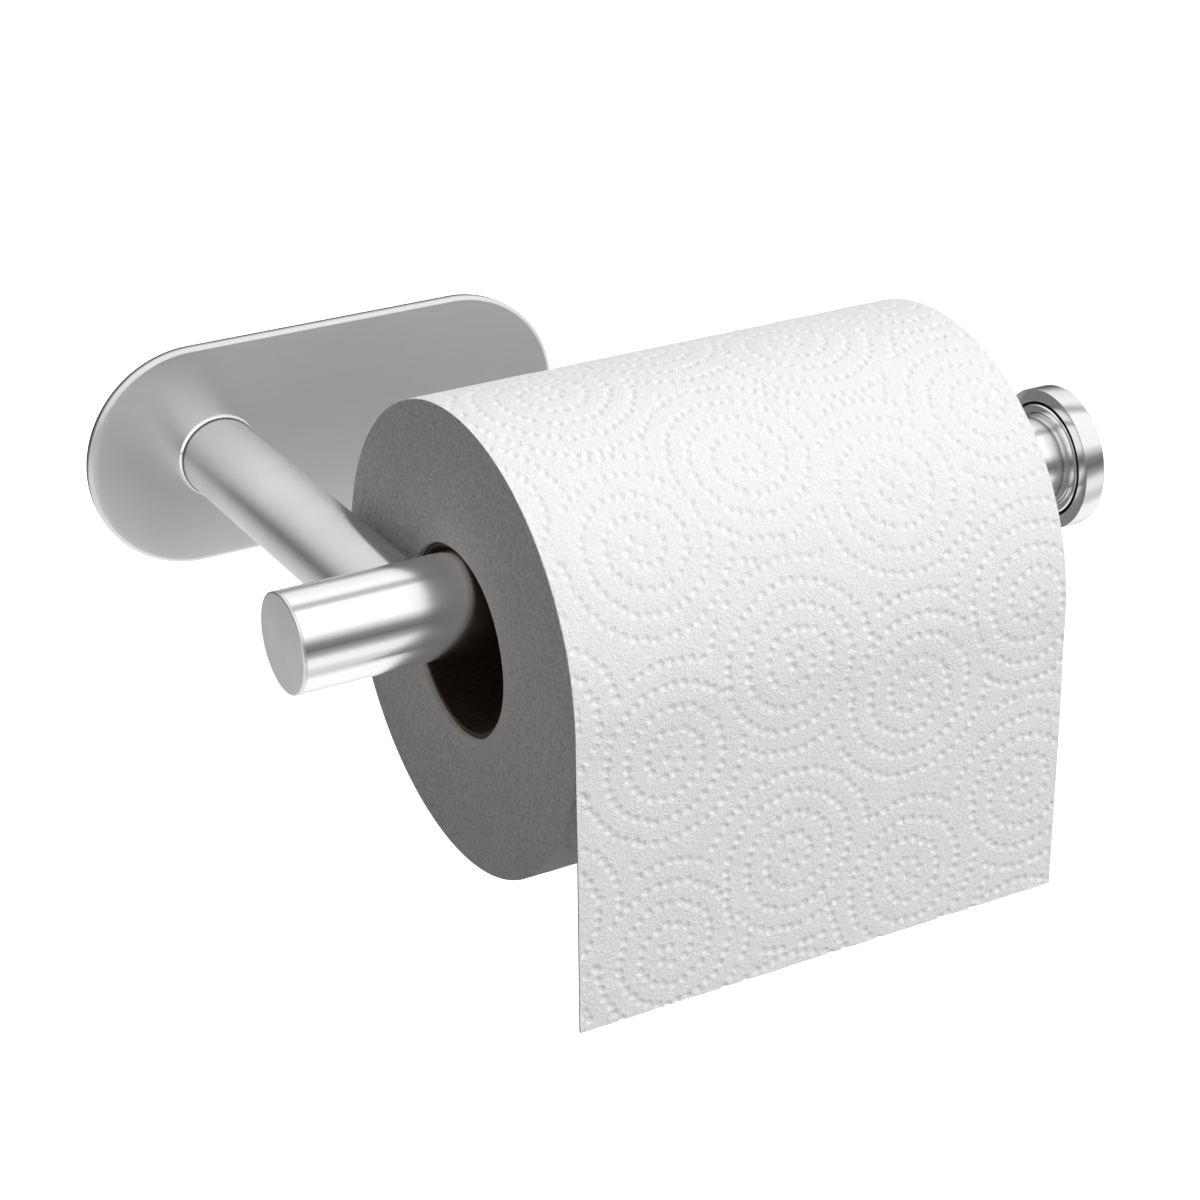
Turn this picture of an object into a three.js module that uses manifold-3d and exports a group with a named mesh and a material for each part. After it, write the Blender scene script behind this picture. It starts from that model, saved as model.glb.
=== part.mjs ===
// A wall-mounted toilet paper holder with a roll on it, in millimetres, +Z up.
//
// The wall is the plane y = 0 and the holder stands out from it towards -Y. The origin is the
// centre of the adhesive pad's wall face. A post runs out from the plate, and carries a bar
// that lies along X: capped at its left end, with a retaining disc at its free right end.
// The roll hangs on the bar by the inside of its cardboard core.

import * as THREE from 'three';
import { mergeVertices } from 'three/addons/utils/BufferGeometryUtils.js';
import Module from 'manifold-3d';

const wasm = await Module();
wasm.setup();

// Clearances between pieces
const FACE_GAP = 0.1; // faces that meet
const PLUG_GAP = 0.2; // a plug in its tube, on the radius
const CUT_GAP = 0.3; // a piece shaped to its neighbour, and a screw in its hole

// Wall plate and its adhesive pad, both obrounds on the Y axis
const PLATE_LENGTH = 115.6;
const PLATE_HEIGHT = 51.2;
const PLATE_THICKNESS = 1.4;
const PLATE_CHAMFER = 1.0;
const PAD_THICKNESS = 1.0;
const PAD_INSET = 0.5;
const PLATE_BACK = -(PAD_THICKNESS + FACE_GAP);
const PLATE_FRONT = PLATE_BACK - PLATE_THICKNESS;

// Post, a tube that stands on the plate
const POST_X = -27.3;
const POST_Z = -0.8;
const POST_RADIUS = 9;
const POST_WALL = 1.2;
const POST_COLLAR = { inner: 9.3, outer: 9.8, height: 1.0 };
const REAR_BUSH_LENGTH = 12;
const FRONT_BUSH_LENGTH = 12;
const FRONT_BUSH_SETBACK = 13.5; // from the bar's axis to the bush

// Bar, a tube along X whose axis meets the post's
const BAR_Y = PLATE_FRONT - 95.2;
const BAR_Z = POST_Z;
const BAR_RADIUS = 10.5;
const BAR_WALL = 1.2;
const BAR_LEFT = -54;
const BAR_BORE = BAR_RADIUS - BAR_WALL;
const CAP = { flange: 0.6, edge: 0.3, spigot: 9, grooveAt: 3.6, grooveWidth: 1.8, grooveDepth: 1.4 };
const CAP_RING_RADIUS = 0.7;

// Tie screw that clamps plate, post and bar to a slug inside the bar
const SCREW_RADIUS = 2.5;
const SCREW_HEAD = { radius: 6, height: 0.7, setback: 0.2 };
const SCREW_PAST_AXIS = 5;
const SOCKET = { radius: 1.75, depth: 1.7 };
const PAD_HOLE_RADIUS = 7;
const SLUG_LENGTH = 24;

// Retaining disc at the free end, with a counterbore that takes the bar and its collar
const DISC_LEFT = 130.3;
const DISC_THICKNESS = 5.1;
const DISC_RADIUS = 15.9;
const DISC_CHAMFER = 0.3;
const COUNTERBORE = { radius: 13.2, depth: 2.4 };
const SEAT = DISC_LEFT + COUNTERBORE.depth;
const BAR_RIGHT = SEAT - FACE_GAP;
const BAR_COLLAR = { outer: 12.4, proud: 0.4, chamfer: 0.3 };
const SEAL = { inner: 12.5, outer: 13.1, height: 1.1 };
const END_PLUG_LENGTH = 14;
const STUD = { left: 12, right: 1.7 }; // reach to each side of the counterbore's floor

// Roll of paper, hanging with its core on top of the bar
const ROLL_LEFT = -16.2;
const ROLL_WIDTH = 115.5;
const CORE_BORE = 19.4;
const CORE_WALL = 1.1;
const CORE_INSET = 1.0; // from the paper's ends to the core's
const PAPER_RADIUS = 49.7;
const ROLL_Y = BAR_Y;
const ROLL_Z = BAR_Z + BAR_RADIUS + FACE_GAP - CORE_BORE;

// The loose end: two plies, the rear one leaving the roll and the front one free to be drawn
const PLY = 0.2;
const PLY_GAP = 0.15;
const WRAP_ANGLE = THREE.MathUtils.degToRad(12); // how far the rear ply lies on the roll
const SHEET_BOTTOM = -74.9;
const FRONT_PLY_TOP = ROLL_Z - 2;

// Sides on a round
const FINE = 72;
const MEDIUM = 48;
const SMALL = 24;

const steel = (roughness, color = 0xb9babb) =>
  new THREE.MeshStandardMaterial({ color, roughness, metalness: 1 });
const plain = (color, roughness) => new THREE.MeshStandardMaterial({ color, roughness, metalness: 0 });
const satinSteel = () => steel(0.38);
const polishedSteel = () => steel(0.16, 0xd3d4d6);
const hiddenSteel = () => steel(0.5, 0x9a9c9f);
const blackRubber = () => plain(0x18181a, 0.85);
const tissue = () => plain(0xf1f0ee, 0.92);

/** The same surface with shared corners, no triangle without area, and its faces pointing out. */
function closed(geometry) {
  geometry.deleteAttribute('normal');
  geometry.deleteAttribute('uv');
  const merged = mergeVertices(geometry, 1e-4);
  const index = [...merged.index.array];
  const position = merged.getAttribute('position');
  const corner = (i) => new THREE.Vector3().fromBufferAttribute(position, i);
  const kept = [];
  let volume = 0;
  for (let i = 0; i < index.length; i += 3) {
    const [a, b, c] = index.slice(i, i + 3);
    if (a === b || b === c || c === a) continue;
    volume += corner(a).dot(corner(b).cross(corner(c)));
    kept.push(a, b, c);
  }
  if (volume < 0) kept.reverse();
  merged.setIndex(kept);
  return merged;
}

function toSolid(geometry) {
  return new wasm.Manifold(
    new wasm.Mesh({
      numProp: 3,
      vertProperties: new Float32Array(geometry.getAttribute('position').array),
      triVerts: new Uint32Array(geometry.index.array),
    }),
  );
}

function cut(geometry, ...tools) {
  let solid = toSolid(geometry);
  for (const tool of tools) solid = solid.subtract(toSolid(tool));
  const mesh = solid.getMesh();
  const result = new THREE.BufferGeometry();
  result.setAttribute('position', new THREE.BufferAttribute(mesh.vertProperties, 3));
  result.setIndex(new THREE.BufferAttribute(mesh.triVerts, 1));
  return result;
}

/** A solid of revolution about Y from [radius, height] corners; a ring's outline closes on itself. */
function lathe(corners, sides) {
  const onAxis = corners[0][0] === 0;
  const outline = onAxis ? corners : [...corners, corners[0]];
  return closed(new THREE.LatheGeometry(outline.map(([r, h]) => new THREE.Vector2(r, h)), sides));
}

/** Turned about the bar's axis; heights are X. */
function alongBar(corners, sides = MEDIUM) {
  return lathe(corners, sides).rotateZ(-Math.PI / 2).translate(0, BAR_Y, BAR_Z);
}

/** Turned about the post's axis; heights are distances from the wall. */
function alongPost(corners, sides = MEDIUM) {
  return lathe(corners, sides).rotateX(Math.PI).translate(POST_X, 0, POST_Z);
}

const ring = (inner, outer, from, to) => [
  [inner, from],
  [outer, from],
  [outer, to],
  [inner, to],
];
const rod = (radius, from, to) => [
  [0, from],
  [radius, from],
  [radius, to],
  [0, to],
];

/** A ring whose two corners at the near face are chamfered. */
const chamferedRing = (inner, outer, from, to, chamfer) => [
  [inner, from + chamfer],
  [inner + chamfer, from],
  [outer - chamfer, from],
  [outer, from + chamfer],
  [outer, to],
  [inner, to],
];

/** An obround prism from the plane y = back towards -Y, chamfered at its front edge. */
function obround(length, height, back, thickness, chamfer) {
  const radius = height / 2;
  const reach = length / 2 - radius;
  const outline = new THREE.Shape();
  outline.absarc(reach, 0, radius, -Math.PI / 2, Math.PI / 2, false);
  outline.absarc(-reach, 0, radius, Math.PI / 2, (3 * Math.PI) / 2, false);
  const bevelled = new THREE.ExtrudeGeometry(outline, {
    depth: 2 * (thickness - chamfer),
    curveSegments: SMALL,
    bevelEnabled: chamfer > 0,
    bevelThickness: chamfer,
    bevelSize: chamfer,
    bevelOffset: -chamfer,
    bevelSegments: 1,
  });
  const middle = thickness - chamfer;
  const block = closed(bevelled).translate(0, 0, -middle).rotateX(Math.PI / 2).translate(0, back, 0);
  const rearHalf = new THREE.BoxGeometry(2 * length, 2 * thickness, 2 * height);
  return cut(block, closed(rearHalf).translate(0, back + thickness, 0));
}

function adhesivePad() {
  const pad = obround(PLATE_LENGTH - 2 * PAD_INSET, PLATE_HEIGHT - 2 * PAD_INSET, 0, PAD_THICKNESS, 0);
  return cut(pad, alongPost(rod(PAD_HOLE_RADIUS, -1, PAD_THICKNESS + 1)));
}

function wallPlate() {
  const plate = obround(PLATE_LENGTH, PLATE_HEIGHT, PLATE_BACK, PLATE_THICKNESS, PLATE_CHAMFER);
  const drill = rod(SCREW_RADIUS + CUT_GAP, 0, 2 * PLATE_THICKNESS + PAD_THICKNESS);
  return cut(plate, alongPost(drill, SMALL));
}

/** Flat-headed screw from the back of the plate, with a hexagon socket in its head. */
function tieScrew() {
  const headEnd = SCREW_HEAD.setback + SCREW_HEAD.height;
  const body = alongPost(
    [
      [0, SCREW_HEAD.setback],
      [SCREW_HEAD.radius, SCREW_HEAD.setback],
      [SCREW_HEAD.radius, headEnd],
      [SCREW_RADIUS, headEnd],
      [SCREW_RADIUS, -BAR_Y + SCREW_PAST_AXIS],
      [0, -BAR_Y + SCREW_PAST_AXIS],
    ],
    SMALL,
  );
  return cut(body, alongPost(rod(SOCKET.radius, -1, SCREW_HEAD.setback + SOCKET.depth), 6));
}

/** A plug inside the post with a clearance hole for the tie screw. */
function postBush(from, length) {
  const outer = POST_RADIUS - POST_WALL - PLUG_GAP;
  return alongPost(ring(SCREW_RADIUS + CUT_GAP, outer, from, from + length), SMALL);
}

/** The post's tube, its outer end shaped to sit on the bar. */
function postTube() {
  const base = -PLATE_FRONT + FACE_GAP;
  const tube = alongPost(ring(POST_RADIUS - POST_WALL, POST_RADIUS, base, -BAR_Y));
  const seat = rod(BAR_RADIUS + CUT_GAP, POST_X - 2 * POST_RADIUS, POST_X + 2 * POST_RADIUS);
  return cut(tube, alongBar(seat, FINE));
}

function barTube() {
  const tube = alongBar(ring(BAR_BORE, BAR_RADIUS, BAR_LEFT + CAP.flange + FACE_GAP, BAR_RIGHT));
  return cut(tube, alongPost(rod(SCREW_RADIUS + CUT_GAP, -BAR_Y - 2 * BAR_RADIUS, -BAR_Y), SMALL));
}

/** A threaded slug inside the bar, drilled from the wall side. */
function barSlug() {
  const slug = alongBar(rod(BAR_BORE - PLUG_GAP, POST_X - SLUG_LENGTH / 2, POST_X + SLUG_LENGTH / 2));
  const drill = rod(SCREW_RADIUS + CUT_GAP, -BAR_Y - BAR_RADIUS, -BAR_Y + SCREW_PAST_AXIS + 1);
  return cut(slug, alongPost(drill, SMALL));
}

/** Flat cap with a grooved spigot. */
function barEndCap() {
  const shoulder = BAR_LEFT + CAP.flange;
  const spigot = BAR_BORE - PLUG_GAP;
  const groove = shoulder + CAP.grooveAt;
  return alongBar([
    [0, BAR_LEFT],
    [BAR_RADIUS - CAP.edge, BAR_LEFT],
    [BAR_RADIUS, BAR_LEFT + CAP.edge],
    [BAR_RADIUS, shoulder],
    [spigot, shoulder],
    [spigot, groove],
    [spigot - CAP.grooveDepth, groove],
    [spigot - CAP.grooveDepth, groove + CAP.grooveWidth],
    [spigot, groove + CAP.grooveWidth],
    [spigot, shoulder + CAP.spigot],
    [0, shoulder + CAP.spigot],
  ]);
}

function capRing() {
  const middle = BAR_LEFT + CAP.flange + CAP.grooveAt + CAP.grooveWidth / 2;
  const torus = new THREE.TorusGeometry(BAR_BORE - CAP_RING_RADIUS - FACE_GAP, CAP_RING_RADIUS, 8, MEDIUM);
  return closed(torus).rotateY(Math.PI / 2).translate(middle, BAR_Y, BAR_Z);
}

function barEndPlug() {
  const outer = BAR_BORE - PLUG_GAP;
  const right = BAR_RIGHT - FACE_GAP;
  return alongBar(ring(SCREW_RADIUS + CUT_GAP, outer, BAR_RIGHT - END_PLUG_LENGTH, right));
}

const endStud = () => alongBar(rod(SCREW_RADIUS, SEAT - STUD.left, SEAT + STUD.right), SMALL);

function endDisc() {
  const right = DISC_LEFT + DISC_THICKNESS;
  const hole = SCREW_RADIUS + CUT_GAP;
  const holeEnd = SEAT + STUD.right + CUT_GAP;
  return alongBar(
    [
      [0, holeEnd],
      [hole, holeEnd],
      [hole, SEAT],
      [COUNTERBORE.radius, SEAT],
      [COUNTERBORE.radius, DISC_LEFT],
      [DISC_RADIUS - DISC_CHAMFER, DISC_LEFT],
      [DISC_RADIUS, DISC_LEFT + DISC_CHAMFER],
      [DISC_RADIUS, right - DISC_CHAMFER],
      [DISC_RADIUS - DISC_CHAMFER, right],
      [0, right],
    ],
    FINE,
  );
}

const barCollar = () =>
  alongBar(
    chamferedRing(
      BAR_RADIUS + FACE_GAP,
      BAR_COLLAR.outer,
      DISC_LEFT - BAR_COLLAR.proud,
      BAR_RIGHT,
      BAR_COLLAR.chamfer,
    ),
  );
const discSeal = () => alongBar(ring(SEAL.inner, SEAL.outer, BAR_RIGHT - SEAL.height, BAR_RIGHT));
const postCollar = () => {
  const base = -PLATE_FRONT + FACE_GAP;
  const { inner, outer, height } = POST_COLLAR;
  return alongPost(ring(inner, outer, base, base + height));
};

/** Turned about the roll's own axis, and set in from the roll's two ends. */
function rollRing(inner, outer, inset) {
  const section = ring(inner, outer, ROLL_LEFT + inset, ROLL_LEFT + ROLL_WIDTH - inset);
  return alongBar(section, FINE).translate(0, ROLL_Y - BAR_Y, ROLL_Z - BAR_Z);
}

/** The rear ply: over the front of the roll, then straight down from where it leaves it. */
function rearPly() {
  const inner = PAPER_RADIUS + PLY_GAP;
  const outer = inner + PLY;
  const outline = new THREE.Shape();
  outline.moveTo(-inner, SHEET_BOTTOM - ROLL_Z);
  outline.lineTo(-inner, 0);
  outline.absarc(0, 0, inner, Math.PI, Math.PI - WRAP_ANGLE, true);
  outline.absarc(0, 0, outer, Math.PI - WRAP_ANGLE, Math.PI, false);
  outline.lineTo(-outer, SHEET_BOTTOM - ROLL_Z);
  const options = { depth: ROLL_WIDTH, bevelEnabled: false, curveSegments: 12 };
  const sheet = closed(new THREE.ExtrudeGeometry(outline, options));
  const [x, y, z] = [0, 1, 2].map((axis) => new THREE.Vector3().setComponent(axis, 1));
  return sheet.applyMatrix4(new THREE.Matrix4().makeBasis(y, z, x)).translate(ROLL_LEFT, ROLL_Y, ROLL_Z);
}

function frontPly() {
  const height = FRONT_PLY_TOP - SHEET_BOTTOM;
  const back = ROLL_Y - PAPER_RADIUS - 2 * PLY_GAP - PLY;
  return closed(new THREE.BoxGeometry(ROLL_WIDTH, PLY, height)).translate(
    ROLL_LEFT + ROLL_WIDTH / 2,
    back - PLY / 2,
    SHEET_BOTTOM + height / 2,
  );
}

function group(...pieces) {
  const result = new THREE.Group();
  for (const [name, geometry, material] of pieces) {
    const mesh = new THREE.Mesh(geometry, material);
    mesh.name = name;
    result.add(mesh);
  }
  return result;
}

const wallMount = group(
  ['adhesive_pad', adhesivePad(), plain(0x2b2c2e, 0.8)],
  ['wall_plate', wallPlate(), satinSteel()],
  ['tie_screw', tieScrew(), hiddenSteel()],
);

const post = group(
  ['post_collar', postCollar(), polishedSteel()],
  ['post_rear_bush', postBush(-PLATE_FRONT + PLUG_GAP, REAR_BUSH_LENGTH), hiddenSteel()],
  ['post_tube', postTube(), satinSteel()],
  [
    'post_front_bush',
    postBush(-BAR_Y - FRONT_BUSH_SETBACK - FRONT_BUSH_LENGTH, FRONT_BUSH_LENGTH),
    hiddenSteel(),
  ],
);

const bar = group(
  ['bar_tube', barTube(), polishedSteel()],
  ['bar_slug', barSlug(), hiddenSteel()],
  ['bar_end_cap', barEndCap(), satinSteel()],
  ['cap_ring', capRing(), blackRubber()],
  ['bar_end_plug', barEndPlug(), hiddenSteel()],
  ['end_stud', endStud(), hiddenSteel()],
  ['bar_collar', barCollar(), polishedSteel()],
  ['end_disc', endDisc(), polishedSteel()],
  ['disc_seal', discSeal(), blackRubber()],
);

const roll = group(
  ['core_tube', rollRing(CORE_BORE, CORE_BORE + CORE_WALL, CORE_INSET), plain(0x8a7460, 0.9)],
  ['wound_paper', rollRing(CORE_BORE + CORE_WALL + FACE_GAP, PAPER_RADIUS, 0), tissue()],
  ['rear_ply', rearPly(), tissue()],
  ['front_ply', frontPly(), tissue()],
);

const holder = new THREE.Group();
holder.name = 'toilet_paper_holder';
holder.add(wallMount, post, bar, roll);

export default holder;
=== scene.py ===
"""A wall-mounted toilet paper holder with an embossed paper roll on it.

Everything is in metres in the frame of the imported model: the wall is the plane y = 0, the bar
lies along X and the room is on the -Y side. Sizes and places come from the model's own nodes.
"""
import math

import bmesh
import bpy
import numpy as np
from mathutils import Matrix, Vector


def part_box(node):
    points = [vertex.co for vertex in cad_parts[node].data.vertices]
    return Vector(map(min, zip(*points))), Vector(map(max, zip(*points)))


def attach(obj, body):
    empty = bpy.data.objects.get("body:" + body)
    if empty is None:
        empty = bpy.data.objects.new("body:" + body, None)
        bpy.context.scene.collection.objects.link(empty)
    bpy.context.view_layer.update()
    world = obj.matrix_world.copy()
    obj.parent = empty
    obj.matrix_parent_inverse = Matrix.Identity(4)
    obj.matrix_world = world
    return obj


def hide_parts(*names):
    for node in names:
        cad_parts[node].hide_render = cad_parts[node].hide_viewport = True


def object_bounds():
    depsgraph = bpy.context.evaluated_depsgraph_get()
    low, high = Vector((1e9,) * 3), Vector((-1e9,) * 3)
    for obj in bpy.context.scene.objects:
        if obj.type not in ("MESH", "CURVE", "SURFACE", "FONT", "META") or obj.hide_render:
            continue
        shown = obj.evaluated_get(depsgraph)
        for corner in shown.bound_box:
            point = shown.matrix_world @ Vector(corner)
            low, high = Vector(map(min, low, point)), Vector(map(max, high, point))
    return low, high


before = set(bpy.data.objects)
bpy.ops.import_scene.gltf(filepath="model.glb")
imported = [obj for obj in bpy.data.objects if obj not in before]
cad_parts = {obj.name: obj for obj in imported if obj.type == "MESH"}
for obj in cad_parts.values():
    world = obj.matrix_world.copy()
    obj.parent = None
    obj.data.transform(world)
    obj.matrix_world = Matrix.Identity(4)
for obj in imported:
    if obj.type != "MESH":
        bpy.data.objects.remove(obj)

MM = 0.001
cad_bounds = [list(corner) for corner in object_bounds()]


# ---------------------------------------------------------------- places, read from the model


def node_box(node):
    low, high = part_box(node)
    return np.array(low), np.array(high)


def middle(node):
    return sum(node_box(node)) / 2


def extent(node):
    low, high = node_box(node)
    return high - low


BAR_AXIS = middle("bar_tube")[1:]
BAR_RADIUS = extent("bar_tube")[2] / 2
BAR_FROM, BAR_TO = (corner[0] for corner in node_box("bar_tube"))
BAR_WALL = 1.2 * MM
POST_AXIS = middle("post_tube")[[0, 2]]
POST_RADIUS = extent("post_tube")[0] / 2
POST_WALL = 1.2 * MM
PLATE_LOW, PLATE_HIGH = node_box("wall_plate")
ROLL_AXIS = middle("core_tube")[1:]
ROLL_FROM, ROLL_TO = (corner[0] for corner in node_box("wound_paper"))
CORE_FROM, CORE_TO = (corner[0] for corner in node_box("core_tube"))
CORE_OUTER = extent("core_tube")[2] / 2
CORE_WALL = 1.1 * MM
CORE_INNER = CORE_OUTER - CORE_WALL
PAPER_INNER = CORE_OUTER + 0.1 * MM
PAPER_OUTER = extent("wound_paper")[2] / 2 + 0.15 * MM
SHEET_LOW = node_box("front_ply")[0][2]
REAR_WRAP = 12  # degrees that the rear ply lies on the roll

SCREW_HOLE = 2.8 * MM  # radius of the holes for the screw and the stud
GAP_CLOSED = 0.08 * MM  # of the model's 0.1 mm between faces that meet
HAIR_GAP = 0.02 * MM  # what is left of it

ROUND = 192  # sides on turned pieces
PAPER_STEP = 0.33 * MM  # spacing of the paper's mesh


# ---------------------------------------------------------------- mesh helpers


def make_object(name, points, quads, sharp_degrees=35):
    """An object from points and four-cornered faces; corners that coincide are merged."""
    points = np.asarray(points, np.float32).reshape(-1, 3)
    quads = np.asarray(quads, np.int32).reshape(-1, 4)
    mesh = bpy.data.meshes.new(name)
    mesh.vertices.add(len(points))
    mesh.vertices.foreach_set("co", points.ravel())
    mesh.loops.add(quads.size)
    mesh.loops.foreach_set("vertex_index", quads.ravel())
    mesh.polygons.add(len(quads))
    mesh.polygons.foreach_set("loop_start", np.arange(0, quads.size, 4, dtype=np.int32))
    mesh.update(calc_edges=True)
    mesh.validate()
    mesh.polygons.foreach_set("use_smooth", np.ones(len(mesh.polygons), bool))
    if sharp_degrees:
        mesh.set_sharp_from_angle(angle=math.radians(sharp_degrees))
    result = bpy.data.objects.new(name, mesh)
    bpy.context.scene.collection.objects.link(result)
    return result


def merge_poles(obj, distance=1e-7):
    """Merges coinciding corners, as where a turned outline meets its axis."""
    work = bmesh.new()
    work.from_mesh(obj.data)
    bmesh.ops.remove_doubles(work, verts=work.verts, dist=distance)
    bmesh.ops.dissolve_degenerate(work, edges=work.edges, dist=distance)
    bmesh.ops.recalc_face_normals(work, faces=work.faces)
    work.to_mesh(obj.data)
    work.free()
    return obj


def grid_quads(rows, columns, wrap_rows=False, wrap_columns=False, start=0, flip=False):
    """Faces of a rows x columns array of points."""
    index = np.arange(rows * columns).reshape(rows, columns) + start
    if wrap_rows:
        index = np.vstack([index, index[:1]])
    if wrap_columns:
        index = np.hstack([index, index[:, :1]])
    corners = [index[:-1, :-1], index[:-1, 1:], index[1:, 1:], index[1:, :-1]]
    if flip:
        corners.reverse()
    return np.stack([c.ravel() for c in corners], axis=1)


def rounded(corners, closed, steps=5):
    """An outline from (across, along, radius) corners, each replaced by a small arc."""
    points = [np.array(c[:2], float) for c in corners]
    outline = []
    for i, (corner, here) in enumerate(zip(corners, points)):
        at_end = not closed and i in (0, len(points) - 1)
        if at_end or corner[2] == 0:
            outline.append(here)
            continue
        before = points[i - 1] - here
        after = points[(i + 1) % len(points)] - here
        cut = min(corner[2], 0.45 * np.linalg.norm(before), 0.45 * np.linalg.norm(after))
        start = here + before / np.linalg.norm(before) * cut
        end = here + after / np.linalg.norm(after) * cut
        for t in np.linspace(0, 1, steps):
            outline.append((1 - t) ** 2 * start + 2 * t * (1 - t) * here + t ** 2 * end)
    return np.array(outline)


def turned(name, corners, origin, axis, closed=True):
    """A turned piece: corners are (radius, height along axis, corner radius)."""
    outline = rounded(corners, closed)
    axis = np.array(axis, float)
    across = np.array((0, 0, 1.0))
    other = np.cross(axis, across)
    angles = np.arange(ROUND) * 2 * math.pi / ROUND
    spokes = np.cos(angles)[:, None] * across + np.sin(angles)[:, None] * other
    points = (
        np.array(origin)
        + outline[None, :, 1:] * axis
        + outline[None, :, :1] * spokes[:, None, :]
    )
    quads = grid_quads(ROUND, len(outline), wrap_rows=True, wrap_columns=closed)
    return merge_poles(make_object(name, points, quads))


def along_bar(name, corners, closed=True, centre=BAR_AXIS):
    """A piece turned about an axis along X; heights are x."""
    return turned(name, corners, (0, *centre), (1, 0, 0), closed)


def along_post(name, corners):
    """A piece turned about the post's axis; heights are distances from the wall."""
    return turned(name, corners, (POST_AXIS[0], 0, POST_AXIS[1]), (0, -1, 0))


def slab(name, front, back):
    """A thin closed sheet between two equal arrays of points."""
    rows, columns = front.shape[:2]
    count = rows * columns
    index = np.arange(count).reshape(rows, columns)
    rim = np.concatenate(
        [index[0, :], index[1:, -1], index[-1, -2::-1], index[-2:0:-1, 0]]
    )
    following = np.roll(rim, -1)
    walls = np.stack([rim, rim + count, following + count, following], axis=1)
    quads = np.vstack(
        [
            grid_quads(rows, columns),
            grid_quads(rows, columns, start=count, flip=True),
            walls,
        ]
    )
    points = np.vstack([front.reshape(-1, 3), back.reshape(-1, 3)])
    return merge_poles(make_object(name, points, quads, sharp_degrees=70))


def eased(value, start, end):
    """0 before start, 1 after end, and a smooth rise between."""
    t = np.clip((value - start) / (end - start), 0, 1)
    return t * t * (3 - 2 * t)


# ---------------------------------------------------------------- material helpers


class Shader:
    """A material with one Principled shader and short ways to feed it."""

    def __init__(self, name, colour, roughness, metallic=0.0, **fixed):
        self.material = bpy.data.materials.new(name)
        self.material.use_nodes = True
        self.tree = self.material.node_tree
        self.principled = self.tree.nodes["Principled BSDF"]
        self.set(self.principled, "Base Color", (*colour, 1))
        self.set(self.principled, "Roughness", roughness)
        self.set(self.principled, "Metallic", metallic)
        for socket, value in fixed.items():
            self.set(self.principled, socket.replace("_", " "), value)
        self.place = self.add("ShaderNodeTexCoord").outputs["Object"]

    def add(self, kind, **settings):
        node = self.tree.nodes.new(kind)
        for key, value in settings.items():
            setattr(node, key, value)
        return node

    @staticmethod
    def set(node, socket, value):
        node.inputs[socket].default_value = value

    def join(self, source, node, socket):
        self.tree.links.new(source, node.inputs[socket])

    def math(self, operation, first, second=0.5):
        node = self.add("ShaderNodeMath", operation=operation)
        for i, value in enumerate((first, second)):
            if isinstance(value, (int, float)):
                node.inputs[i].default_value = value
            else:
                self.tree.links.new(value, node.inputs[i])
        return node.outputs[0]

    def vector(self, operation, first, second=(0, 0, 0)):
        node = self.add("ShaderNodeVectorMath", operation=operation)
        for i, value in enumerate((first, second)):
            if isinstance(value, tuple):
                node.inputs[i].default_value = value
            else:
                self.tree.links.new(value, node.inputs[i])
        return node.outputs["Value" if operation in ("LENGTH", "DOT_PRODUCT") else "Vector"]

    def noise(self, scale, detail=3.0, stretch=(1, 1, 1), place=None, roughness=0.5):
        """Noise of about scale bumps per metre, squeezed by stretch along each axis."""
        node = self.add("ShaderNodeTexNoise")
        self.join(self.vector("MULTIPLY", place or self.place, tuple(stretch)), node, "Vector")
        self.set(node, "Scale", scale)
        self.set(node, "Detail", detail)
        self.set(node, "Roughness", roughness)
        return node.outputs["Fac"]

    def spread(self, source, low, high, start=0.3, end=0.7):
        """source, from start to end, carried to the range low to high."""
        node = self.add("ShaderNodeMapRange")
        self.join(source, node, "Value")
        for socket, value in zip(
            ("From Min", "From Max", "To Min", "To Max"), (start, end, low, high)
        ):
            self.set(node, socket, value)
        return node.outputs["Result"]

    def blend(self, factor, first, second):
        """A colour from first at 0 to second at 1."""
        node = self.add("ShaderNodeMix", data_type="RGBA")
        self.join(factor, node, 0)
        for socket, value in ((6, first), (7, second)):
            if isinstance(value, tuple):
                node.inputs[socket].default_value = (*value, 1)
            else:
                self.tree.links.new(value, node.inputs[socket])
        return node.outputs[2]

    def colour(self, source):
        self.join(source, self.principled, "Base Color")

    def roughness(self, source):
        self.join(source, self.principled, "Roughness")

    def bump(self, height, distance, over=None):
        """Adds a bump of that height in metres; over is a bump that it lies on."""
        node = self.add("ShaderNodeBump")
        self.set(node, "Strength", 1.0)
        self.set(node, "Distance", distance)
        self.join(height, node, "Height")
        if over is not None:
            self.join(over, node, "Normal")
        self.join(node.outputs["Normal"], self.principled, "Normal")
        return node.outputs["Normal"]


def turned_marks(shader, centre, axis):
    """Lets the shader's highlights spread across marks that circle the line through centre."""
    arm = shader.vector("SUBTRACT", shader.place, tuple(centre))
    marks = shader.vector("NORMALIZE", shader.vector("CROSS_PRODUCT", arm, tuple(axis)))
    normal = shader.add("ShaderNodeNewGeometry").outputs["Normal"]
    shader.join(shader.vector("CROSS_PRODUCT", normal, marks), shader.principled, "Tangent")


def radius_about(shader, centre, axis):
    """The distance from the line through centre along axis, which is one of X, Y and Z."""
    flat = tuple(0.0 if a else 1.0 for a in axis)
    arm = shader.vector("MULTIPLY", shader.vector("SUBTRACT", shader.place, tuple(centre)), flat)
    return shader.vector("LENGTH", arm)


# ---------------------------------------------------------------- materials


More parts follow.
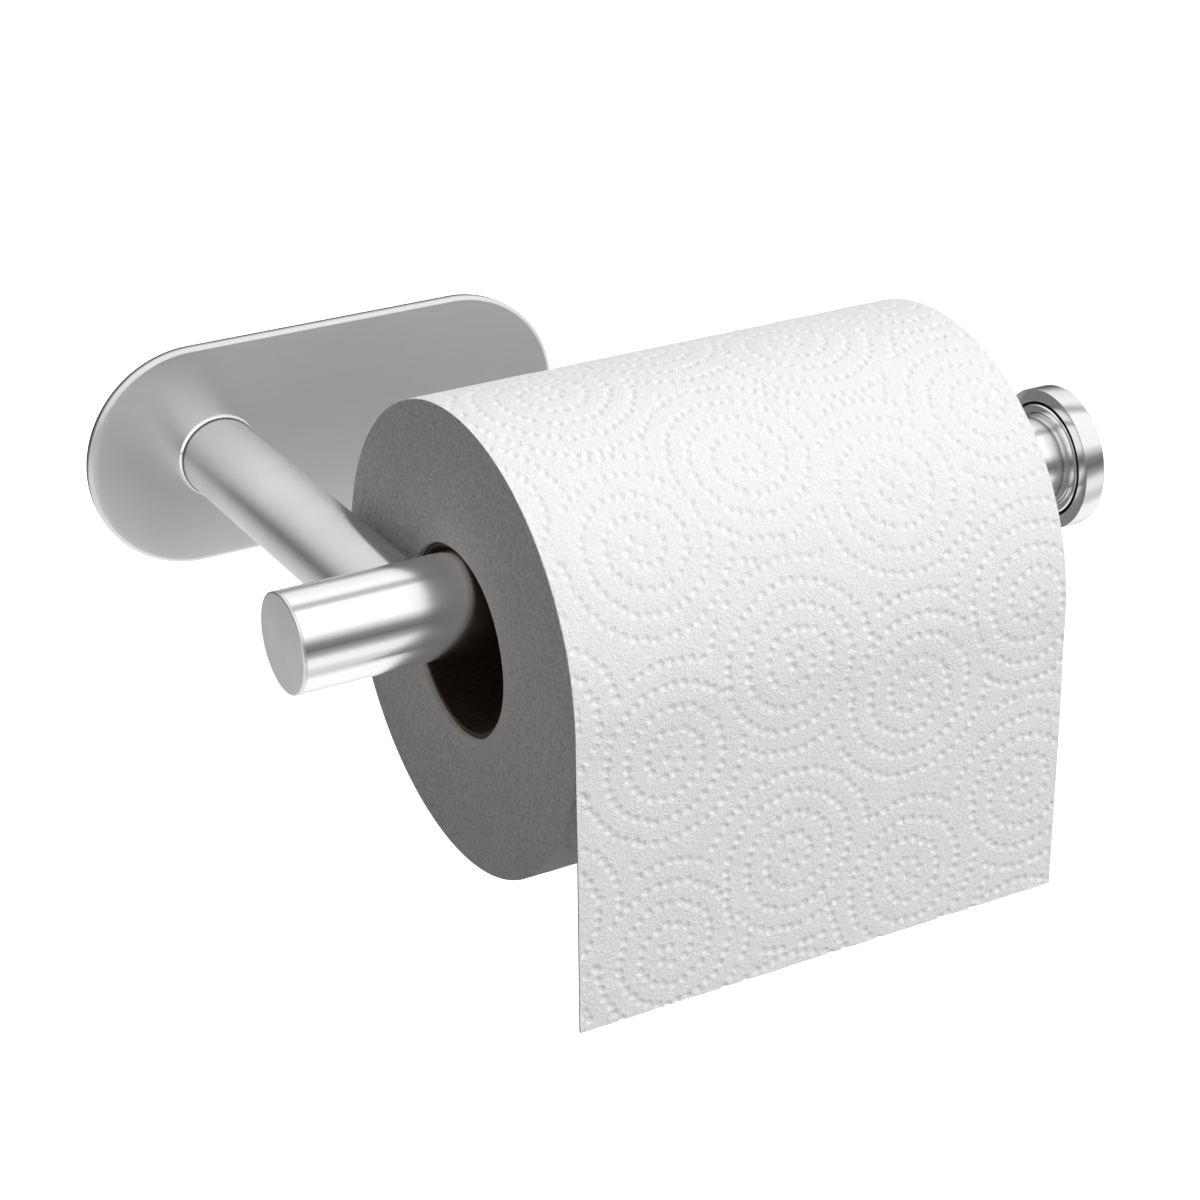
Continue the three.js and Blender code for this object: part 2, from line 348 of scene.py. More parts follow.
def satin_plate_steel():
    """Satin steel with fine brush marks along the plate."""
    s = Shader("satin_plate", (0.76, 0.76, 0.765), 0.32, 1.0, Anisotropic=0.7)
    fine = s.noise(4200, 2, (0.02, 1, 1))
    patchy = s.noise(60, 2, (0.3, 1, 1))
    mixed = s.math("ADD", s.math("MULTIPLY", fine, 0.3), s.math("MULTIPLY", patchy, 0.7))
    s.roughness(s.spread(mixed, 0.31, 0.34))
    s.colour(s.blend(s.spread(fine, 0, 1), (0.75, 0.75, 0.755), (0.77, 0.77, 0.775)))
    normal = s.add("ShaderNodeNewGeometry").outputs["Normal"]
    s.join(s.vector("CROSS_PRODUCT", normal, (1.0, 0.0, 0.0)), s.principled, "Tangent")
    return s.material


def satin_tube_steel(
    name, axis_point, axis, stretch, base=0.8, low=0.28, high=0.31, anisotropy=0.9
):
    """Satin steel with fine marks round a tube or across a face."""
    s = Shader(name, (base, base, base), 0.32, 1.0, Anisotropic=anisotropy)
    marks = s.noise(2600, 3, stretch)
    patchy = s.noise(70, 2)
    s.roughness(s.spread(marks, low, high))
    s.colour(s.blend(s.spread(patchy, 0, 1), (base * 0.96,) * 3, (base * 1.04,) * 3))
    s.bump(marks, 0.05e-6)
    turned_marks(s, axis_point, axis)
    return s.material


def polished_steel(name, axis_point, axis, base=0.9, low=0.12, high=0.145, marks_height=0.3e-6):
    """Polished steel with faint turning marks."""
    s = Shader(name, (base, base, base), 0.13, 1.0, Anisotropic=0.8)
    along = s.vector("MULTIPLY", s.place, tuple(1.0 if a else 0.06 for a in axis))
    marks = s.noise(3500, 3, place=along)
    smears = s.noise(90, 3)
    s.roughness(s.spread(smears, low, high))
    s.colour(s.blend(s.spread(smears, 0, 1), (base * 0.985,) * 3, (base,) * 3))
    s.bump(marks, marks_height)
    turned_marks(s, axis_point, axis)
    return s.material


def fastener_steel():
    s = Shader("zinc_fastener", (0.45, 0.46, 0.47), 0.38, 1.0)
    grain = s.noise(900, 4)
    s.roughness(s.spread(grain, 0.3, 0.48))
    s.colour(s.blend(s.spread(grain, 0, 1), (0.4, 0.41, 0.43), (0.52, 0.52, 0.52)))
    s.bump(grain, 4e-6)
    return s.material


def black_rubber():
    s = Shader("black_rubber", (0.012, 0.012, 0.013), 0.7)
    grain = s.noise(2500, 3)
    s.roughness(s.spread(grain, 0.6, 0.85))
    s.colour(s.blend(s.spread(grain, 0, 1), (0.008, 0.008, 0.009), (0.02, 0.02, 0.021)))
    s.bump(grain, 8e-6)
    return s.material


def pad_foam():
    """Dark closed-cell foam tape."""
    s = Shader("pad_foam", (0.045, 0.045, 0.048), 0.85)
    cells = s.add("ShaderNodeTexVoronoi")
    s.join(s.place, cells, "Vector")
    s.set(cells, "Scale", 2600)
    cell = cells.outputs["Distance"]
    patchy = s.noise(120, 3)
    s.colour(s.blend(s.spread(patchy, 0, 1), (0.09, 0.09, 0.093), (0.13, 0.13, 0.134)))
    s.roughness(s.spread(patchy, 0.75, 0.92))
    s.bump(cell, 30e-6)
    return s.material


def embossed_tissue():
    """White creped tissue: a fine grain over soft clumps."""
    s = Shader("embossed_tissue", (0.9, 0.9, 0.9), 0.95, 0.0, Specular_IOR_Level=0.2)
    grain = s.noise(1800, 2.5, roughness=0.6)
    clumps = s.noise(300, 2)
    s.colour(s.blend(s.spread(grain, 0, 1), (0.85, 0.85, 0.85), (0.93, 0.93, 0.93)))
    s.roughness(s.spread(grain, 0.88, 1.0))
    soft = s.bump(clumps, 70e-6)
    s.bump(grain, 380e-6, over=soft)
    return s.material


def wound_tissue():
    """The roll's cut ends: many edges of tissue, ring on ring, a little fuzzy."""
    s = Shader("wound_tissue", (0.8, 0.8, 0.8), 0.95, 0.0, Specular_IOR_Level=0.2)
    radius = radius_about(s, (0, *ROLL_AXIS), (1, 0, 0))
    arms = s.add("ShaderNodeCombineXYZ")
    s.join(radius, arms, "X")
    layers = s.noise(2600, 2, place=arms.outputs[0])
    mottle = s.noise(1500, 2, roughness=0.5)
    clouds = s.noise(90, 2)
    mixed = s.math("ADD", s.math("MULTIPLY", layers, 0.2), s.math("MULTIPLY", mottle, 0.8))
    # The cut edges' grey, darker than the tissue, is partly their own tone and partly painted
    # shade.
    grain = s.blend(s.spread(mixed, 0, 1, 0.38, 0.62), (0.56, 0.56, 0.56), (0.75, 0.75, 0.75))
    warm = s.spread(radius, 0.5, 0.0, CORE_OUTER, CORE_OUTER + 5 * MM)
    s.colour(s.blend(warm, grain, (0.72, 0.68, 0.64)))
    soft = s.bump(clouds, 250e-6)
    fuzzy = s.bump(mottle, 200e-6, over=soft)
    s.bump(layers, 50e-6, over=fuzzy)
    return s.material


def core_board():
    """Grey-brown cardboard with a wound seam; its inner wall is near-black, painted shade, and its
    cut end is paler, a brown darkened in part as painted shade.
    """
    s = Shader("core_board", (0.3, 0.23, 0.17), 0.9, 0.0, Specular_IOR_Level=0.2)
    fibres = s.noise(1500, 4, (0.35, 1, 1))
    seam = s.add("ShaderNodeTexWave", wave_type="BANDS", bands_direction="X")
    s.join(s.place, seam, "Vector")
    s.set(seam, "Scale", 9.0)
    s.set(seam, "Distortion", 0.4)
    # Painted shade: the inner wall near-black for the dark inside of the tube.
    inside = s.blend(s.spread(fibres, 0, 1), (0.02, 0.012, 0.009), (0.04, 0.026, 0.019))
    # The cut end: board brown, darkened in part as painted shade.
    cut = s.blend(s.spread(fibres, 0, 1), (0.1, 0.074, 0.056), (0.16, 0.12, 0.09))
    depth = radius_about(s, (0, *ROLL_AXIS), (1, 0, 0))
    from_inside = s.spread(depth, 0, 1, CORE_INNER + 0.05 * MM, CORE_INNER + 0.2 * MM)
    s.colour(s.blend(from_inside, inside, cut))
    ridge = s.bump(seam.outputs["Fac"], 60e-6)
    s.bump(fibres, 50e-6, over=ridge)
    return s.material


# ---------------------------------------------------------------- holder


# How far a plate's back is eased, the width and depth of its front chamfer, and its rounding
PLATE_EDGE = (0.15 * MM, 0.8 * MM, 0.62 * MM, 0.12 * MM)
PAD_EDGE = (0.1 * MM, 0.1 * MM, 0.1 * MM, 0.03 * MM)
BACK_ROUNDING = 0.1 * MM
FACE_BAND = 1.5 * MM  # even band inside the chamfer
FACE_RINGS = 12  # rings of faces from the edge to the hole
PAD_HOLE = 7 * MM  # radius of the hole round the screw's head
PAD_REACH = 0.35 * MM  # of the pad past its node's edge, so that it shows behind the plate


def obround(name, inset, front, back, edge, hole_radius, sides=320):
    """A flat plate between the planes y = front and y = back, with a hole on the post's axis."""
    ease, chamfer_width, chamfer_depth, rounding = edge
    radius = (PLATE_HIGH[2] - PLATE_LOW[2]) / 2
    reach = (PLATE_HIGH[0] - PLATE_LOW[0]) / 2 - radius
    centre = (PLATE_LOW + PLATE_HIGH) / 2
    angles = (np.arange(sides) + 0.5) * 2 * math.pi / sides
    spoke = np.stack([np.cos(angles), np.sin(angles)], axis=1)
    core = np.stack([np.sign(spoke[:, 0]) * reach, np.zeros(sides)], axis=1) + centre[[0, 2]]
    full = radius - inset
    section = rounded(
        [
            (full - ease, back, 0.0),
            (full, back, BACK_ROUNDING),
            (full, front + chamfer_depth, rounding),
            (full - chamfer_width, front, rounding),
            (full - chamfer_width - FACE_BAND, front, 0.0),
        ],
        closed=False,
    )
    rings = [(core + spoke * r, y) for r, y in section]
    outer = rings[-1][0]
    hole = POST_AXIS + spoke * hole_radius
    shares = np.linspace(0, 1, FACE_RINGS)[1:]
    rings += [(outer * (1 - t) + hole * t, front) for t in shares]
    rings += [(hole, back)]
    start = rings[0][0]
    rings += [(hole * (1 - t) + start * t, back) for t in shares[:-1]]
    points = np.array([np.insert(flat, 1, y, axis=1) for flat, y in rings])
    quads = grid_quads(len(rings), sides, wrap_rows=True, wrap_columns=True)
    return merge_poles(make_object(name, points, quads, sharp_degrees=20))


def wall_plate():
    return obround("plate", 0.0, PLATE_LOW[1], PLATE_HIGH[1], PLATE_EDGE, SCREW_HOLE)


def adhesive_pad():
    low, high = node_box("adhesive_pad")
    inset = (extent("wall_plate")[0] - extent("adhesive_pad")[0]) / 2 - PAD_REACH
    return obround("pad", inset, low[1] - GAP_CLOSED, high[1], PAD_EDGE, PAD_HOLE)


def post_tube():
    """A tube from the plate whose outer end sits on the bar."""
    base = node_box("post_tube")[1][1]
    rows = 60
    angles = np.arange(ROUND) * 2 * math.pi / ROUND
    inner = POST_RADIUS - POST_WALL

    def wall(radius, shares):
        across, up = radius * np.cos(angles), radius * np.sin(angles)
        seat = BAR_AXIS[0] + np.sqrt((BAR_RADIUS + HAIR_GAP) ** 2 - up ** 2)
        return [
            np.stack([POST_AXIS[0] + across, base + (seat - base) * t, POST_AXIS[1] + up], axis=1)
            for t in shares
        ]

    shares = np.linspace(0, 1, rows)
    points = np.array(wall(POST_RADIUS, shares) + wall(inner, shares[::-1]))
    quads = grid_quads(len(points), ROUND, wrap_rows=True, wrap_columns=True)
    return merge_poles(make_object("post", points, quads))


def post_collar():
    low, high = node_box("post_collar")
    near, far = -high[1], -low[1]
    outer = (high[0] - low[0]) / 2
    width = 0.5 * MM
    bevel = 0.4 * MM
    return along_post(
        "post_ring",
        [
            (outer - width, near - GAP_CLOSED, 0.0),
            (outer, near - GAP_CLOSED, 0.02 * MM),
            (outer, far - 1.5 * bevel, 0.1 * MM),
            (outer - bevel, far, 0.1 * MM),
            (outer - width, far, 0.02 * MM),
        ],
    )


def bar_tube():
    inner = BAR_RADIUS - BAR_WALL
    ease = 0.03 * MM
    return along_bar(
        "bar",
        [
            (inner, BAR_FROM, ease),
            (BAR_RADIUS, BAR_FROM, ease),
            (BAR_RADIUS, BAR_TO, ease),
            (inner, BAR_TO, ease),
        ],
    )


def bar_end_cap():
    low, high = node_box("bar_end_cap")
    spigot = BAR_RADIUS - 1.3 * MM
    shoulder = BAR_FROM - HAIR_GAP
    chamfer_width, chamfer_depth = 0.36 * MM, 0.15 * MM
    return along_bar(
        "end_cap",
        [
            (0, low[0], 0),
            (BAR_RADIUS - chamfer_width, low[0], 0.05 * MM),
            (BAR_RADIUS, low[0] + chamfer_depth, 0.05 * MM),
            (BAR_RADIUS, shoulder, 0.02 * MM),
            (spigot, shoulder, 0.02 * MM),
            (spigot, high[0], 0.2 * MM),
            (0, high[0], 0),
        ],
        closed=False,
    )


def bar_collar():
    """The ring at the disc, a little wider than its node so that the groove round it is narrow."""
    low, high = node_box("bar_collar")
    outer = (high[2] - low[2]) / 2 + 0.06 * MM
    inner = BAR_RADIUS + HAIR_GAP
    bevel = 0.3 * MM
    return along_bar(
        "bar_ring",
        [
            (inner, low[0] + bevel, 0.05 * MM),
            (inner + bevel, low[0], 0.08 * MM),
            (outer - bevel, low[0], 0.08 * MM),
            (outer, low[0] + bevel, 0.08 * MM),
            (outer, high[0], 0.05 * MM),
            (inner, high[0], 0.05 * MM),
        ],
    )


def end_disc():
    """The disc, with a well that takes the bar, the collar and the seal."""
    low, high = node_box("end_disc")
    outer = (high[2] - low[2]) / 2
    well = 13.1 * MM
    floor = BAR_TO + 0.1 * MM
    hole_end = node_box("end_stud")[1][0] + 0.3 * MM
    return along_bar(
        "disc",
        [
            (0, hole_end, 0),
            (SCREW_HOLE, hole_end, 0),
            (SCREW_HOLE, floor, 0.1 * MM),
            (well, floor, 0.1 * MM),
            (well, low[0], 0.12 * MM),
            (outer, low[0], 0.14 * MM),
            (outer, high[0], 0.4 * MM),
            (0, high[0], 0),
        ],
        closed=False,
    )


def disc_seal():
    low, high = node_box("disc_seal")
    outer = (high[2] - low[2]) / 2
    width, squeeze = 0.6 * MM, 0.05 * MM
    ease = 0.2 * MM
    return along_bar(
        "seal",
        [
            (outer - width, low[0], ease),
            (outer + squeeze, low[0], ease),
            (outer + squeeze, high[0], ease),
            (outer - width, high[0], ease),
        ],
    )


# ---------------------------------------------------------------- paper

SWIRL_ACROSS = 28.7 * MM  # spacing of the embossed swirls across the sheet
SWIRL_ALONG = 43.0 * MM  # and along it
SWIRL_STAGGER = 6.5 * MM  # of every other column, along the sheet
SWIRL_SHIFT = (0.72, -0.06)  # of the pattern across and along, in spacings
ARM_PITCH = 4.7 * MM  # between a swirl's turns
DOT_PITCH = 2.38 * MM  # between dots on a turn
DOT_SCATTER = 0.17 * MM
DOT_RADIUS = 0.95 * MM
DOT_DEPTH = 0.46 * MM
DOT_FLAT = 0.48  # share of a dot's radius that is its flat bottom
FIRST_DOT_AT = 0.9  # radians along a swirl
RELIEF_MARGIN = 0.9 * MM  # at the sheet's sides, where the relief fades
SHEET_RANGE = (-72 * MM, 320 * MM)  # of the sheet's length, from where it leaves the roll


def swirl_dots():
    """Places (across, along) of the embossed dots: a spiral of dots about each swirl's middle."""
    random = np.random.default_rng(7)
    middles = np.array(
        [
            (
                ROLL_FROM + (column + SWIRL_SHIFT[0]) * SWIRL_ACROSS,
                (row + SWIRL_SHIFT[1]) * SWIRL_ALONG + SWIRL_STAGGER * (1 if column % 2 else -1),
            )
            for column in range(-2, 6)
            for row in range(-3, 9)
        ]
    )
    dots = []
    for i, place in enumerate(middles):
        turn = 1 if i % 3 else -1
        first = random.uniform(0, 2 * math.pi)
        swept = FIRST_DOT_AT
        while (radius := ARM_PITCH * swept / (2 * math.pi)) < SWIRL_ALONG:
            here = first + turn * swept
            spot = place + radius * np.array((math.cos(here), math.sin(here)))
            dots.append((*(spot + random.normal(0, DOT_SCATTER, 2)), i))
            swept += DOT_PITCH / max(radius, 1.2 * MM)
    dots = np.array(dots)
    gaps = np.linalg.norm(dots[:, None, :2] - middles[None], axis=2)
    mine = gaps.argmin(axis=1) == dots[:, 2].astype(int)
    low, high = SHEET_RANGE
    return dots[mine & (dots[:, 1] > low) & (dots[:, 1] < high)][:, :2]


def ripple_waves(count=36, seed=11):
    """Length, direction and phase of the shallow waves that keep the sheet from lying flat."""
    random = np.random.default_rng(seed)
    lengths = random.uniform(2.5 * MM, 14 * MM, count)
    directions = random.uniform(0, math.pi, count)
    phases = random.uniform(0, 2 * math.pi, count)
    return list(zip(lengths, directions, phases))


DOTS = swirl_dots()
RIPPLES = ripple_waves()
RIPPLE_SHARE = 0.0008  # a wave's height as a share of its length


def near(values, middle, reach):
    """The stretch of an evenly rising or falling row of values that lies within reach."""
    inside = np.flatnonzero(np.abs(values - middle) < reach)
    return slice(inside[0], inside[-1] + 1) if len(inside) else None


def relief(across, along):
    """How far the sheet lies under its smooth surface, less than 0 where a ripple lifts it."""
    depth = np.zeros((len(along), len(across)))
    for length, direction, phase in RIPPLES:
        wave = 2 * math.pi / length
        run = math.cos(direction) * across[None, :] + math.sin(direction) * along[:, None]
        depth += RIPPLE_SHARE * length * np.sin(wave * run + phase)
    for x, s in DOTS:
        rows, columns = near(along, s, DOT_RADIUS), near(across, x, DOT_RADIUS)
        if rows and columns:
            off = np.hypot(across[None, columns] - x, along[rows, None] - s) / DOT_RADIUS
            depth[rows, columns] += DOT_DEPTH * (1 - eased(off, DOT_FLAT, 1))
    return depth * eased(np.minimum(across - ROLL_FROM, ROLL_TO - across), 0, RELIEF_MARGIN)


def across_grid():
    count = int(round((ROLL_TO - ROLL_FROM) / PAPER_STEP)) + 1
    return np.linspace(ROLL_FROM, ROLL_TO, count)


def ring_offsets(radii, angles, seed):
    """How far each ring of paper edges stands proud of the roll's end, by angle and radius."""
    random = np.random.default_rng(seed)
    result = np.zeros((len(angles), len(radii)))
    for _ in range(24):
        pitch = random.uniform(1.2 * MM, 7 * MM)
        lobes = random.integers(0, 6)
        result += 0.012 * MM * np.sin(
            2 * math.pi * radii[None, :] / pitch + lobes * angles[:, None] + random.uniform(0, 6.28)
        )
    return result


END_RINGS = 60  # rings of corners on each end of the roll


def paper_roll():
    """The wound roll: embossed outside, with the cut edges of its turns at both ends."""
    across = across_grid()
    turn = 2 * math.pi * PAPER_OUTER
    count = int(round(turn / PAPER_STEP))
    angles = np.arange(count) * 2 * math.pi / count
    along = angles * PAPER_OUTER
    skin_radius = PAPER_OUTER - relief(across, along)
    ease = 0.25 * MM
    face_radii = np.linspace(PAPER_OUTER - ease, PAPER_INNER, END_RINGS)
    skin_x = np.repeat(across[None, :], count, axis=0)
    skin_x[:, 0] += 0.08 * MM
    skin_x[:, -1] -= 0.08 * MM
    right = np.repeat(face_radii[None, :], count, axis=0)
    right_x = ROLL_TO + 0.02 * MM - ring_offsets(face_radii, angles, 3)
    left = right[:, ::-1]
    left_x = ROLL_FROM - 0.02 * MM + ring_offsets(face_radii[::-1], angles, 5)
    x = np.hstack([skin_x, right_x, left_x])
    radius = np.hstack([skin_radius, right, left])
    points = np.stack(
        [
            x,
            ROLL_AXIS[0] - radius * np.cos(angles)[:, None],
            ROLL_AXIS[1] + radius * np.sin(angles)[:, None],
        ],
        axis=2,
    )
    quads = grid_quads(count, x.shape[1], wrap_rows=True, wrap_columns=True)
    return make_object("paper_roll", points, quads, sharp_degrees=75)


def sheet_path(along, offset):
    """The sheet's line in the YZ plane, offset outwards: round the roll, then straight down."""
    angle = np.maximum(along, 0) / PAPER_OUTER
    radius = PAPER_OUTER + offset
    y = ROLL_AXIS[0] - radius * np.cos(angle)
    z = ROLL_AXIS[1] + radius * np.sin(angle) + np.minimum(along, 0)
    normal = np.stack([-np.cos(angle), np.sin(angle)], axis=1)
    return y, z, normal


def hung_sheet(name, top, offset_at, thickness=0.08 * MM):
    """A ply from top, measured along the sheet from where it leaves the roll, to the cut edge."""
    across = across_grid()
    bottom = SHEET_LOW - ROLL_AXIS[1]
    along = np.linspace(top, bottom, int(round((top - bottom) / PAPER_STEP)) + 1)
    y, z, normal = sheet_path(along, offset_at(along))
    depth = relief(across, along)
    layers = []
    for lift in (0.0, -thickness):
        shift = lift - depth
        layers.append(
            np.stack(
                [
                    np.repeat(across[None, :], len(along), axis=0),
                    y[:, None] + normal[:, :1] * shift,
                    z[:, None] + normal[:, 1:] * shift,
                ],
                axis=2,
            )
        )
    return slab(name, *layers)


def rear_sheet():
    """The ply next to the roll; its upper end sinks just into the roll's surface."""
    top = math.radians(REAR_WRAP) * PAPER_OUTER
    return hung_sheet("rear_sheet", top, lambda s: (-0.05 + 0.2 * eased(top - s, 0, top)) * MM)


def front_sheet():
    """The ply that is drawn down; its upper end sinks just into the rear one."""
    top = node_box("front_ply")[1][2] - ROLL_AXIS[1]
    lift = 30 * MM
    return hung_sheet("front_sheet", top, lambda s: (0.1 + 0.42 * eased(top - s, 0, lift)) * MM)


def core_tube():
    ease = 0.12 * MM
    return along_bar(
        "core",
        [
            (CORE_INNER, CORE_FROM, ease),
            (CORE_OUTER + 0.05 * MM, CORE_FROM, ease),
            (CORE_OUTER + 0.05 * MM, CORE_TO, ease),
            (CORE_INNER, CORE_TO, ease),
        ],
        centre=ROLL_AXIS,
    )


# ---------------------------------------------------------------- build


def dress(piece, node, body, material):
    """piece takes the place of a CAD node on its body."""
    piece.data.materials.clear()
    piece.data.materials.append(material)
    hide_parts(node)
    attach(piece, body)
    return piece


def repaint(node, material):
    """A CAD node that stays, with a better material."""
    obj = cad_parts[node]
    if not obj.material_slots:
        obj.data.materials.append(material)
    for place in obj.material_slots:
        place.material = material


def build_holder():
    bar_point, along_x = (0, *BAR_AXIS), (1, 0, 0)
    post_point, along_y = (POST_AXIS[0], 0, POST_AXIS[1]), (0, 1, 0)
    satin_post = satin_tube_steel("satin_post", post_point, along_y, (0.3, 1, 0.3))
    satin_face = satin_tube_steel(
        "satin_face", bar_point, along_x, (1, 1, 1), low=0.3, high=0.4, anisotropy=0.1
    )
    bright_bar = polished_steel("bright_bar", bar_point, along_x)
    bright_disc = polished_steel(
        "bright_disc", bar_point, along_x, base=0.8, low=0.11, high=0.15, marks_height=0.8e-6
    )
    bright_ring = polished_steel("bright_ring", post_point, along_y, low=0.1, high=0.15)
    rubber = black_rubber()
    dress(wall_plate(), "wall_plate", "holder", satin_plate_steel())
    dress(adhesive_pad(), "adhesive_pad", "holder", pad_foam())
    dress(post_tube(), "post_tube", "holder", satin_post)
    dress(post_collar(), "post_collar", "holder", bright_ring)
    dress(bar_tube(), "bar_tube", "holder", bright_bar)
    dress(bar_end_cap(), "bar_end_cap", "holder", satin_face)
    dress(bar_collar(), "bar_collar", "holder", bright_disc)
    dress(end_disc(), "end_disc", "holder", bright_disc)
    dress(disc_seal(), "disc_seal", "holder", rubber)
    steel = fastener_steel()
    for node in (
        "tie_screw",
        "post_rear_bush",
        "post_front_bush",
        "bar_slug",
        "bar_end_plug",
        "end_stud",
    ):
        repaint(node, steel)
    repaint("cap_ring", rubber)


def build_roll():
    tissue = embossed_tissue()
    roll = paper_roll()
    roll.data.materials.append(tissue)
    roll.data.materials.append(wound_tissue())
    skin = len(across_grid())
    columns = skin + 2 * END_RINGS
    place = np.arange(len(roll.data.polygons)) % columns
    at_end = (place >= skin - 1).astype(np.int32)
    roll.data.polygons.foreach_set("material_index", at_end)
    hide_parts("wound_paper")
    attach(roll, "roll")
    dress(core_tube(), "core_tube", "roll", core_board())
    rear = dress(rear_sheet(), "rear_ply", "hanging_sheet", tissue)
    front = dress(front_sheet(), "front_ply", "drawn_sheet", tissue)


# ---------------------------------------------------------------- stage, light and camera


FLOOR_DROP = 0.35  # from the holder's lowest point to the floor


def stage_floor():
    """A pale floor under the holder, wide enough for every view."""
    height = cad_bounds[0][2] - FLOOR_DROP
    half = 30.0
    points = [(x * half, y * half, height) for x, y in ((-1, -1), (1, -1), (1, 1), (-1, 1))]
    floor = make_object("floor", points, [(0, 1, 2, 3)], sharp_degrees=0)
    material = bpy.data.materials.new("pale_floor")
    material.use_nodes = True
    principled = material.node_tree.nodes["Principled BSDF"]
    principled.inputs["Base Color"].default_value = (0.9, 0.9, 0.9, 1)
    principled.inputs["Roughness"].default_value = 0.9
    principled.inputs["Emission Color"].default_value = (1, 1, 1, 1)
    principled.inputs["Emission Strength"].default_value = 0.85
    floor.data.materials.append(material)
    floor.visible_glossy = False
    floor.visible_diffuse = False


# Brightness of the studio as polished metal sees it, by the angle about the X axis from the
# front horizon (0) over the top (90) to the back (180): soft boxes above and below with a dark
# gap at the horizon.
STUDIO_BANDS = [
    (-180, 0.10),
    (-164, 0.28),
    (-152, 0.52),
    (-138, 0.78),
    (-120, 0.96),
    (-102, 1.12),
    (-72, 1.12),
    (-58, 0.70),
    (-46, 0.80),
    (-36, 1.05),
    (-24, 0.98),
    (-13, 0.42),
    (-1, 0.17),
    (11, 0.28),
    (22, 0.74),
    (31, 1.15),
    (86, 1.20),
    (94, 0.60),
    (101, 0.56),
    (108, 1.00),
    (116, 1.15),
    (146, 0.95),
    (160, 0.50),
    (170, 0.24),
    (177, 0.12),
    (180, 0.10),
]
AMBIENT = 0.16  # brightness of the even light on everything else


def studio_world():
    """White to the camera, banded soft boxes to metal, and a dim even light to the rest."""
    world = bpy.data.worlds.new("studio")
    bpy.context.scene.world = world
    world.use_nodes = True
    tree = world.node_tree
    nodes, links = tree.nodes, tree.links
    nodes.clear()
    direction = nodes.new("ShaderNodeTexCoord").outputs["Generated"]
    parts = nodes.new("ShaderNodeSeparateXYZ")
    links.new(direction, parts.inputs[0])
    front = nodes.new("ShaderNodeMath")
    front.operation = "MULTIPLY"
    front.inputs[1].default_value = -1
    links.new(parts.outputs["Y"], front.inputs[0])
    angle = nodes.new("ShaderNodeMath")
    angle.operation = "ARCTAN2"
    links.new(parts.outputs["Z"], angle.inputs[0])
    links.new(front.outputs[0], angle.inputs[1])
    share = nodes.new("ShaderNodeMapRange")
    share.inputs["From Min"].default_value = -math.pi
    share.inputs["From Max"].default_value = math.pi
    links.new(angle.outputs[0], share.inputs["Value"])
    ramp = nodes.new("ShaderNodeValToRGB")
    ramp.color_ramp.interpolation = "LINEAR"
    stops = ramp.color_ramp.elements
    while len(stops) > 1:
        stops.remove(stops[-1])
    peak = max(level for _, level in STUDIO_BANDS)
    stops[0].position = 0
    for degrees, level in STUDIO_BANDS:
        stop = stops[0] if degrees == -180 else stops.new((degrees + 180) / 360)
        stop.color = (level / peak,) * 3 + (1,)
    links.new(share.outputs["Result"], ramp.inputs["Fac"])

    def background(colour, strength, source=None):
        node = nodes.new("ShaderNodeBackground")
        node.inputs["Color"].default_value = (colour,) * 3 + (1,)
        node.inputs["Strength"].default_value = strength
        if source is not None:
            links.new(source, node.inputs["Color"])
        return node.outputs[0]

    def mixed(factor, first, second):
        node = nodes.new("ShaderNodeMixShader")
        links.new(factor, node.inputs[0])
        links.new(first, node.inputs[1])
        links.new(second, node.inputs[2])
        return node.outputs[0]

    ray = nodes.new("ShaderNodeLightPath")
    metal = mixed(
        ray.outputs["Is Glossy Ray"], background(1, AMBIENT), background(1, peak, ramp.outputs[0])
    )
    seen = mixed(ray.outputs["Is Camera Ray"], metal, background(1, 1.0))
    output = nodes.new("ShaderNodeOutputWorld")
    links.new(seen, output.inputs["Surface"])


AIM = Vector((0.03, -0.095, 0.0))  # the point that the lights look at


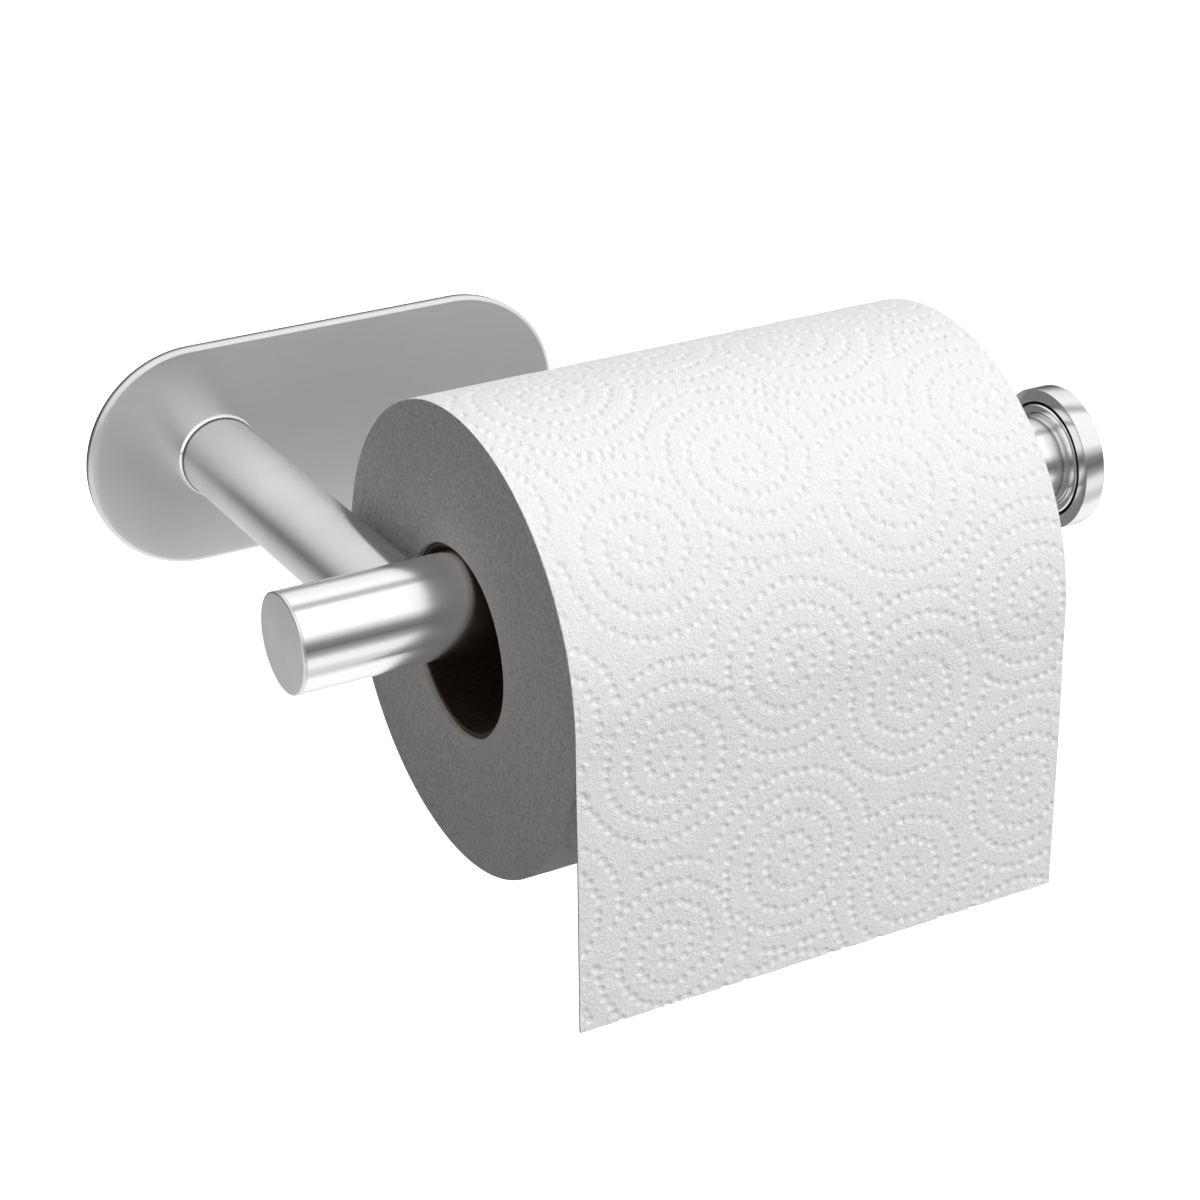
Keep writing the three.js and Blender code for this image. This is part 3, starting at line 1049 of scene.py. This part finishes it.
def soft_box(name, azimuth, elevation, distance, size, power):
    """A square light of power watts that no reflection shows, from that direction in degrees."""
    light = bpy.data.lights.new(name, "AREA")
    light.shape = "SQUARE"
    light.size = size
    light.energy = power
    lamp = bpy.data.objects.new(name, light)
    a, e = math.radians(azimuth), math.radians(elevation)
    toward = Vector((math.sin(a) * math.cos(e), -math.cos(a) * math.cos(e), math.sin(e)))
    lamp.location = AIM + toward * distance
    lamp.rotation_euler = toward.to_track_quat("Z", "Y").to_euler()
    lamp.visible_glossy = False
    bpy.context.scene.collection.objects.link(lamp)


def lights():
    soft_box("key_above", 35, 68, 1.5, 0.9, 11.5)
    soft_box("front_fill", 14, 12, 1.8, 1.2, 18.5)
    soft_box("top_behind", 170, 60, 1.5, 0.9, 7.5)
    soft_box("low_behind", 175, -12, 1.6, 1.2, 3.5)
    soft_box("low_left", -60, -18, 1.2, 1.0, 1.0)


CAMERA_PLACE = (-0.2531, -0.5818, 0.2556)
CAMERA_YAW = -29.18  # degrees: from +Y towards -X
CAMERA_PITCH = -25.46
CAMERA_ROLL = -0.49
CAMERA_LENS = 89.0  # mm
CAMERA_SENSOR = 36  # mm


def camera():
    yaw, pitch, roll = (math.radians(d) for d in (CAMERA_YAW, CAMERA_PITCH, CAMERA_ROLL))
    forward = Vector(
        (-math.sin(yaw) * math.cos(pitch), math.cos(yaw) * math.cos(pitch), math.sin(pitch))
    )
    right = forward.cross(Vector((0, 0, 1))).normalized()
    up = right.cross(forward)
    right, up = (
        right * math.cos(roll) + up * math.sin(roll),
        up * math.cos(roll) - right * math.sin(roll),
    )
    data = bpy.data.cameras.new("camera")
    data.lens = CAMERA_LENS
    data.sensor_width = CAMERA_SENSOR
    obj = bpy.data.objects.new("camera", data)
    turn = Matrix((right, up, -forward)).transposed().to_4x4()
    obj.matrix_world = Matrix.Translation(CAMERA_PLACE) @ turn
    bpy.context.scene.collection.objects.link(obj)
    bpy.context.scene.camera = obj


def main():
    camera()
    build_holder()
    build_roll()
    stage_floor()
    studio_world()
    lights()
    scene = bpy.context.scene
    scene.view_settings.view_transform = "Standard"
    scene.view_settings.look = "None"


main()
